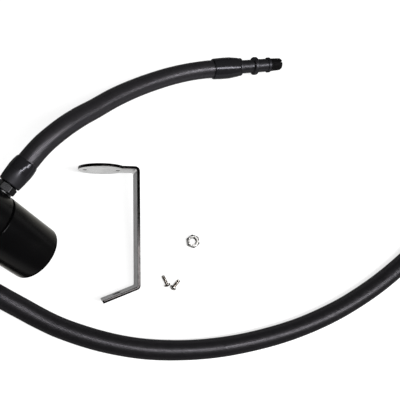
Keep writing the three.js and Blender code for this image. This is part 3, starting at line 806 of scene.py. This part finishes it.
def port_end(sides):
    """Rings of a fitting's thread into the cap and of its hexagon."""
    start = FITTING_START
    lead = rings([(BARB_BORE, start), (5.3, start), (5.6, start + 0.4)], sides)
    screwed = thread(FITTING_CREST, FITTING_ROOT, FITTING_PITCH, start + 0.5, HEX_BASE - 1.2, sides)
    relief = rings([(5.5, HEX_BASE - 1.1), (5.5, HEX_BASE - 0.1)], sides)
    return lead + screwed + relief + hex_block(HEX_ACROSS, HEX_BASE, HEX_TOP, sides)


def make_inlet(sides=120):
    neck = [(6.6, HEX_TOP + 0.05), (BARB_TIP + 0.8, HEX_TOP + 0.25, 0.2),
            (BARB_TIP + 0.8, HEX_TOP + 0.6, 0.2)]
    tip = [(BARB_BORE + 0.5, BARB_START + BARB_LENGTH, 0.2), (BARB_BORE, HEX_TOP + BARB_LENGTH)]
    outline = rounded(neck + barb_profile(BARB_START) + tip)
    made = new_object("inlet_fitting", skin(port_end(sides) + rings(outline, sides)))
    finish_piece(made, INLET, FITTING, "head", "black_fitting", "inlet_barb_fitting")


def make_outlet(sides=120):
    """Straight stub, hexagon, quarter bend and barb: made straight, then bent."""
    bend_at = ELBOW_REACH - ELBOW_BEND
    unrolled = bend_at + ELBOW_BEND * math.pi / 2
    neck = [(6.9, HEX_TOP + 0.05), (6.9, bend_at - 0.6), (ELBOW_RADIUS, bend_at + 0.2)]
    bend = [(ELBOW_RADIUS, z) for z in np.linspace(bend_at + 0.6, unrolled - 0.6, 24)]
    collar = unrolled + ELBOW_BARB_START - ELBOW_BEND
    last = [(6.9, unrolled + 0.4), (6.9, collar - 2.4), (7.8, collar - 2, 0.2),
            (7.8, collar - 0.4, 0.2)]
    outline = rounded(neck, 0.3) + bend + rounded(last + barb_profile(collar), 0.2)
    tip = collar + BARB_LENGTH
    inner = [(BARB_BORE + 0.4, tip), (BARB_BORE, tip - 0.5), (BARB_BORE, unrolled + 0.3)]
    inner += [(BARB_BORE, z) for z in np.linspace(unrolled - 0.3, bend_at + 0.3, 22)]
    points, faces = skin(port_end(sides) + rings(outline + inner, sides))
    made = new_object("outlet_elbow", (quarter_bend(points, bend_at, ELBOW_BEND), faces))
    place = CAN @ axes(Vector((0, 0, PORT_Z * MM)), (0, 0, -1), (0, -1, 0), (-1, 0, 0))
    finish_piece(made, place, FITTING, "head", "black_fitting", "outlet_elbow_fitting")


def make_seals():
    for name, place in (("inlet", INLET), ("outlet", OUTLET)):
        z = PORT_FLAT + GAP
        washer = plain_ring(WASHER_INNER, WASHER_OUTER, z, z + WASHER_THICK, 96, 0.3)
        finish_piece(new_object(f"{name}_washer", washer), place, WASHER_METAL, "head",
                     "seal_washer", f"{name}_seal_washer")
    torus = [circle(SEAL_RADIUS + SEAL_THICK * math.cos(a), SEAL_Z + SEAL_THICK * math.sin(a))
             for a in angles(20)]
    finish_piece(new_object("o_ring", skin(torus)), CAN, SEAL, "seal", "seal_rubber", "cup_o_ring")


make_cup()
make_cap()
make_inlet()
make_outlet()
make_seals()


# ---- parts inside the canister ----
def inner_part(made, node, place=CAN):
    finish_piece(made, place, INNER_STEEL, "head", "inner_steel", node)


def plate_with_holes(name, z, radius, *more):
    """A round plate with the stud's hole, the drain holes and more, as (radius, x, y)."""
    top = z + PLATE_THICK
    made = new_object(name, turned([(0, z), (radius, z, 0.25), (radius, top, 0.25), (0, top)], 96))
    drains = [(DRAIN_RADIUS, DRAIN_CIRCLE * math.cos(a), DRAIN_CIRCLE * math.sin(a))
              for a in angles(DRAIN_HOLES) + math.pi / DRAIN_HOLES]
    for r, x, y in [(STUD_RADIUS + GAP, 0, 0), *more, *drains]:
        cut(made, moved(rod(r, z - 1, top + 1, 40), local(x=x, y=y)))
    return made


def woven_sleeve(radius, z0, z1, wires=44, rows=30, wire=0.13):
    """Wire gauze rolled into a sleeve: upright wires that pass in and out of hoops."""
    solids = []
    turn, section = angles(wires * 4), angles(6)
    for k in range(rows):
        weave = radius + wire * 0.9 * np.sin(turn * wires / 2 + k * np.pi)
        z = z0 + (k + 0.5) * (z1 - z0) / rows
        hoop = [circle(weave + wire * math.cos(a), z + wire * math.sin(a), wires * 4) for a in section]
        solids.append(skin(hoop))
    for j in range(wires):
        heading = (j + 0.5) * 2 * np.pi / wires
        made = []
        for z in np.linspace(z0, z1, rows * 3 + 1):
            out = radius - wire * 0.9 * math.sin((z - z0) / (z1 - z0) * rows * np.pi + j * np.pi)
            ring = circle(wire, z, 6)
            ring[:, 0] += out
            made.append(ring)
        points, faces = skin(made, tips=(z0, z1))
        points[-2:, 0] += radius
        spin = np.array(Matrix.Rotation(heading, 3, "Z"))
        solids.append((points @ spin.T, faces))
    return solids


def make_stud():
    stud = rings([(1.9, STUD_BOTTOM), (2.3, STUD_BOTTOM + 0.5)], 64)
    stud += thread(STUD_RADIUS, STUD_ROOT, STUD_PITCH, STUD_BOTTOM + 0.6, 38, 64)
    stud += rings([(STUD_RADIUS - 0.1, 38.2), (STUD_RADIUS - 0.1, 68)], 64)
    stud += thread(STUD_RADIUS, STUD_ROOT, STUD_PITCH, 68.2, STUD_TOP - 0.6, 64)
    stud += rings([(2.3, STUD_TOP - 0.5), (1.9, STUD_TOP)], 64)
    inner_part(new_object("stud", skin(stud, tips=(STUD_BOTTOM, STUD_TOP))), "centre_stud")


def make_plates():
    drop_hole = (DROP_OUTER + GAP, DROP_X, 0)
    upper = plate_with_holes("upper_plate", PLATE_UPPER_Z, PLATE_UPPER_R, drop_hole)
    inner_part(upper, "upper_baffle_plate")
    lower = plate_with_holes("lower_plate", PLATE_LOWER_Z, PLATE_LOWER_R)
    inner_part(lower, "lower_baffle_plate")


def make_filter():
    """Two layers of gauze round a spacer, between the plates."""
    z0, z1 = PLATE_LOWER_Z + PLATE_THICK + GAP, PLATE_UPPER_Z - GAP
    layers = woven_sleeve(FILTER_OUTER - 0.3, z0, z1) + woven_sleeve(FILTER_INNER + 0.3, z0, z1, 30)
    finish_piece(new_object("gauze", *layers), CAN, MESH_STEEL, "head", "steel_mesh", "mesh_filter")
    sleeve = plain_ring(STUD_RADIUS + GAP, SPACER_OUTER, z0, z1, 64)
    inner_part(new_object("spacer", sleeve), "filter_spacer_sleeve")


def make_stud_nut():
    """The stud's nut, with the washer that it holds against the lower plate."""
    top = PLATE_LOWER_Z - GAP
    low = top - STUD_WASHER_THICK
    washer = plain_ring(STUD_RADIUS + GAP, STUD_WASHER_OUTER, low, top, 64)
    inner_part(new_object("small_washer", washer), "stud_washer")
    nut = nut_solid(STUD_NUT_ACROSS, STUD_NUT_HEIGHT, STUD_RADIUS + 0.1, STUD_PITCH, 96)
    inner_part(new_object("lock_nut", nut), "stud_lock_nut",
               CAN @ local(z=low - GAP - STUD_NUT_HEIGHT))


def make_drop_tube():
    bend = FITTING_START - GAP - DROP_X
    bend_at = PORT_Z - bend
    high = bend_at + bend * math.pi / 2
    heights = [DROP_BOTTOM + 0.3, bend_at - 0.2, *np.linspace(bend_at, high, 14)]
    wall = [(DROP_INNER + 0.2, DROP_BOTTOM), (DROP_OUTER - 0.2, DROP_BOTTOM)]
    wall += [(DROP_OUTER, z) for z in heights] + [(DROP_INNER, z) for z in heights[::-1]]
    points, faces = skin(rings(wall, 64))
    tube = new_object("drop_tube", (quarter_bend(points, bend_at, bend), faces))
    inner_part(tube, "inlet_drop_tube", CAN @ local(x=DROP_X))


make_stud()
make_plates()
make_filter()
make_stud_nut()
make_drop_tube()


# ---- bracket and fasteners ----
def make_nut():
    made = new_object("hex_nut", nut_solid(NUT_ACROSS, NUT_HEIGHT, NUT_BORE, NUT_PITCH))
    turn = Matrix.Rotation(math.radians(NUT_TURN), 4, "Z")
    place = Matrix.Translation((*NUT_AT, 0)) @ turn
    finish_piece(made, place, NUT_STEEL, "nut", "fastener_steel", "mounting_nut")


def screw_solid(sides=96):
    """Button-head screw about +Z, tip down, with a hexagon socket in its head."""
    seat, top = SCREW_LENGTH, SCREW_LENGTH + SCREW_HEAD_HEIGHT
    shank = rings([(1.2, 0), (SCREW_RADIUS - 0.35, 0.35)], sides)
    shank += thread(SCREW_RADIUS, SCREW_RADIUS - 0.38, SCREW_PITCH, 0.4, seat - 0.3, sides)
    dome = [(SCREW_RADIUS - 0.2, seat - 0.2), (SCREW_RADIUS + 0.1, seat, 0.1),
            (SCREW_HEAD - 0.2, seat, 0.15), (SCREW_HEAD, seat + 0.3, 0.2),
            (SCREW_HEAD, seat + 0.9, 0.4), (SCREW_HEAD - 0.45, seat + 1.8, 0.8),
            (SCREW_HEAD - 1.35, top, 0.6), (1.75, top, 0.1)]
    socket = hexagon(2.5, sides)
    inside = [circle(socket, top - 0.15, sides), circle(socket, top - 1.5, sides)]
    return skin(shank + rings(rounded(dome), sides) + inside, tips=(0, top - 2.0))


def make_screws():
    for i, (tip, heading) in enumerate(SCREWS):
        dip = math.asin((SCREW_HEAD - SCREW_RADIUS) / (SCREW_LENGTH + 0.7))
        h = math.radians(heading)
        axis = (math.cos(dip) * math.cos(h), math.cos(dip) * math.sin(h), math.sin(dip))
        place = aimed((*tip, (SCREW_RADIUS * math.cos(dip) + 0.1) * MM), axis)
        made = new_object(f"button_screw_{i + 1}", screw_solid())
        finish_piece(made, place, FASTENER, f"screw_{i + 1}", "fastener_steel",
                     f"bracket_screw_{i + 1}")


def blank_outline():
    """The bracket before bending, as (along, across) points, its holes as (along, radius), and
    the places along it where its bends start and end."""
    foot_flat = FOOT - STRIP_BEND * math.tan(FOOT_TURN / 2)
    bend_1 = foot_flat + STRIP_BEND * FOOT_TURN
    leg_end = bend_1 + LEG - STRIP_BEND * (math.tan(FOOT_TURN / 2) + 1)
    bend_2 = leg_end + STRIP_BEND * math.pi / 2
    centre = bend_2 + PLATE_CENTRE - STRIP_BEND
    half = STRIP_WIDTH / 2
    meets = math.asin(half / PLATE_RADIUS)
    rim = [(centre + PLATE_RADIUS * math.cos(a), PLATE_RADIUS * math.sin(a), 0)
           for a in np.linspace(-math.pi + meets, math.pi - meets, 90)]
    rim[0], rim[-1] = (*rim[0][:2], 4), (*rim[-1][:2], 4)
    outline = rounded([(0, half, 1.5), (0, -half, 1.5), *rim], closed=True)
    holes = [(centre - TAPPED_APART / 2, PLATE_HOLE), (centre + TAPPED_APART / 2, PLATE_HOLE),
             (FOOT - STUD_HOLE_AT, STUD_HOLE)]
    return outline, holes, (foot_flat, bend_1, leg_end, bend_2)


def on_bend(height, angle, depth):
    """Place on a bend whose centre is at that height, in the bracket's side view."""
    reach = STRIP_BEND - depth
    return reach * math.cos(angle) - STRIP_BEND, reach * math.sin(angle) + height


def folded(along, depth, stations):
    """Place in the bracket's side view of a point that far along the blank and that deep
    below its outer face."""
    foot_flat, bend_1, leg_end, bend_2 = stations
    cos, sin = math.cos(FOOT_ANGLE), math.sin(FOOT_ANGLE)
    low = STRIP_BEND * math.tan(FOOT_TURN / 2)
    if along <= foot_flat:
        return -cos * (FOOT - along) - sin * depth, -sin * (FOOT - along) + cos * depth
    if along <= bend_1:
        return on_bend(low, (along - foot_flat) / STRIP_BEND - FOOT_TURN, depth)
    if along <= leg_end:
        return -depth, low + along - bend_1
    if along <= bend_2:
        return on_bend(LEG - STRIP_BEND, (along - leg_end) / STRIP_BEND, depth)
    return -STRIP_BEND - (along - bend_2), LEG - depth


def bracket_frame():
    """It lies on its foot's edge and the round plate's rim, so the plate end is raised."""
    reach = PLATE_CENTRE * math.sin(FOOT_ANGLE) + (LEG - STRIP_THICK) * math.cos(FOOT_ANGLE)
    tilt = math.atan2(PLATE_RADIUS - STRIP_WIDTH / 2, reach)
    turn = Matrix.Rotation(BRACKET_TURN, 4, "Z")
    foot_line = turn @ Vector((math.cos(FOOT_ANGLE), math.sin(FOOT_ANGLE), 0))
    pose = Matrix.Rotation(tilt, 4, foot_line) @ turn
    middle = pose @ Vector((0, 0, STRIP_WIDTH / 2 * MM))
    return Matrix.Translation(Vector((*BRACKET_CORNER, 0)) + middle) @ pose


def spline(curve, points):
    line = curve.splines.new("POLY")
    line.points.add(len(points) - 1)
    for p, (x, y) in zip(line.points, points):
        p.co = (x * MM, y * MM, 0, 1)
    line.use_cyclic_u = True


def make_bracket():
    """Cut as a flat blank with eased edges, then folded twice."""
    ease = 0.3
    outline, holes, stations = blank_outline()
    curve = bpy.data.curves.new("blank", "CURVE")
    curve.dimensions, curve.fill_mode = "2D", "BOTH"
    curve.extrude = (STRIP_THICK / 2 - ease) * MM
    curve.bevel_depth, curve.bevel_resolution, curve.offset = ease * MM, 2, -ease * MM
    spline(curve, outline)
    for at, r in holes:
        spline(curve, [(at + x, y) for x, y, _ in circle(r, 0, 48)])
    flat = linked(bpy.data.objects.new("blank", curve))
    graph = bpy.context.evaluated_depsgraph_get()
    mesh = bpy.data.meshes.new_from_object(flat.evaluated_get(graph))
    bpy.data.objects.remove(flat)
    fold_mesh(mesh, stations)
    made = linked(bpy.data.objects.new("bent_bracket", mesh))
    finish_piece(made, bracket_frame(), (BRACKET_STEEL, BRACKET_LEG_SHADED, BRACKET_EDGE_SHADED), "bracket",
                 "bracket_steel", "bracket")


def fold_mesh(mesh, stations):
    """Folds the blank, lays out its map and gives its plate, its leg and foot, and its cut edges the
    first, second and third look. The second look is a darker copy of the first, painted shade on the
    leg and foot, and the third paints the cut edges near-black as painted shade."""
    work = bmesh.new()
    work.from_mesh(mesh)
    bmesh.ops.remove_doubles(work, verts=work.verts, dist=1e-6)
    foot_flat, bend_1, leg_end, bend_2 = stations
    lines = [*np.linspace(foot_flat, bend_1, 11), *np.linspace(leg_end, bend_2, 13)]
    lines += list(np.linspace(bend_1, leg_end, 9)[1:-1])
    for at in lines:
        everything = work.verts[:] + work.edges[:] + work.faces[:]
        bmesh.ops.bisect_plane(work, geom=everything, plane_co=(at * MM, 0, 0), plane_no=(1, 0, 0))
    layout = work.loops.layers.uv.new("lay")
    work.normal_update()
    for face in work.faces:
        # Leg and foot faces get the darker copy of the steel, and cut edges the near-black look: both
        # painted shade.
        before_plate = face.calc_center_median().x / MM < leg_end
        face.material_index = 2 if abs(face.normal.z) < 0.6 else int(before_plate)
        for loop in face.loops:
            loop[layout].uv = (loop.vert.co.x, loop.vert.co.y + loop.vert.co.z)
    for vert in work.verts:
        x, y = folded(vert.co.x / MM, STRIP_THICK / 2 - vert.co.z / MM, stations)
        vert.co = Vector((x * MM, y * MM, vert.co.y))
    bmesh.ops.recalc_face_normals(work, faces=work.faces)
    work.to_mesh(mesh)
    work.free()


make_bracket()
make_screws()
make_nut()


# ---- floor and light ----
FLOOR_GLOW = 0.8
TABLE_AT, TABLE_REACH, FLOOR_REACH, FLOOR_LEVEL = (150, 30), 750, 6000, -0.3
BACKDROP_RADIUS, BACKDROP_HEIGHT = 5500, 9000
STRIP_LIGHT_AT, STRIP_LIGHT_SIZE = (0.835, -0.155, 1.0), (1.73, 0.18)  # metres
STRIP_LIGHT_RADIANCE = 44


def glowing_look(name, base, roughness, level):
    look = Look(name, (base, base, base), roughness, level=level)
    look.shader.inputs["Emission Color"].default_value = (1, 1, 1, 1)
    look.shader.inputs["Emission Strength"].default_value = FLOOR_GLOW
    return look


def stage_mesh(name, look, points, faces):
    made = new_object(name, (points, faces))
    made.data.materials.append(look.material)
    return made


def only_seen(made):
    """Keeps it out of reflections and shadows, so black surfaces reflect only the table, the
    lamp and the dark studio."""
    made.visible_glossy = made.visible_diffuse = made.visible_shadow = False


def make_floor():
    """A glowing white table, and the same floor beyond it."""
    look = glowing_look("pale_floor", 0.2, 0.6, 0.1)
    near, far = (
        [(x * reach + TABLE_AT[0], y * reach + TABLE_AT[1], FLOOR_LEVEL) for x, y in CORNERS]
        for reach in (TABLE_REACH, FLOOR_REACH)
    )
    stage_mesh("table", look, near, [range(4)])
    only_seen(stage_mesh("floor", look, far + near, between(4)))


def make_backdrop(sides=64):
    """A pale round wall, so that views from the side show no black."""
    look = glowing_look("pale_backdrop", 0, 1.0, 0.0)
    wall = [circle(BACKDROP_RADIUS, z, sides) for z in (0, BACKDROP_HEIGHT)]
    only_seen(stage_mesh("backdrop", look, np.concatenate(wall), between(sides)))


def softbox(name, at, size, radiance):
    """Rectangular lamp that shines straight down with the given radiance."""
    data = bpy.data.lights.new(name, "AREA")
    data.shape = "RECTANGLE"
    data.size, data.size_y = size
    data.energy = radiance * math.pi * size[0] * size[1]
    linked(bpy.data.objects.new(name, data)).matrix_world = Matrix.Translation(at)


def make_world():
    world = bpy.data.worlds.new("studio")
    world.use_nodes = True
    bpy.context.scene.world = world
    world.node_tree.nodes["Background"].inputs["Color"].default_value = (0.004, 0.004, 0.004, 1)


make_floor()
make_backdrop()
make_world()
softbox("overhead_strip", STRIP_LIGHT_AT, STRIP_LIGHT_SIZE, STRIP_LIGHT_RADIANCE)
bpy.context.scene.view_settings.view_transform = "Standard"
